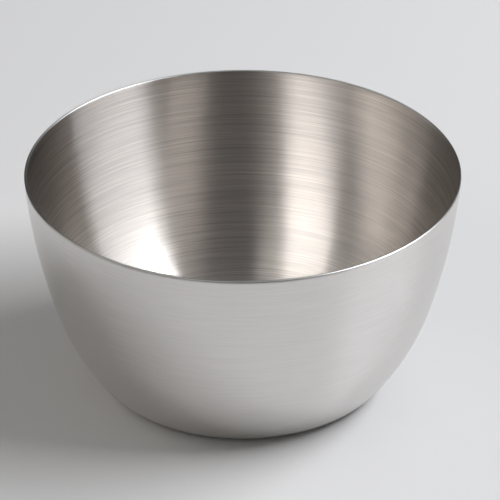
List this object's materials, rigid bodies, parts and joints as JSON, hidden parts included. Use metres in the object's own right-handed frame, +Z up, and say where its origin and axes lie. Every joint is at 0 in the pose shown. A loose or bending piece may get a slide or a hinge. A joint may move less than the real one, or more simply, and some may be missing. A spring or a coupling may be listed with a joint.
{
  "type": "salad bowl",
  "caption": "Deep round salad bowl of one satin steel sheet, with a flat base, a smoothly curved flaring wall and a plain crowned rim.",
  "frame": {"origin": "centre of the base, on the surface that the bowl stands on", "axes": "+Z up along the bowl's axis, out of its mouth; the bowl is round, so X and Y are free"},
  "size_m": [0.2, 0.2, 0.106],
  "materials": {
    "satin_steel": "satin, brushed round the axis: fine outside, coarser inside"
  },
  "bodies": {
    "root": {"bowl": "satin_steel"}
  },
  "joints": []
}
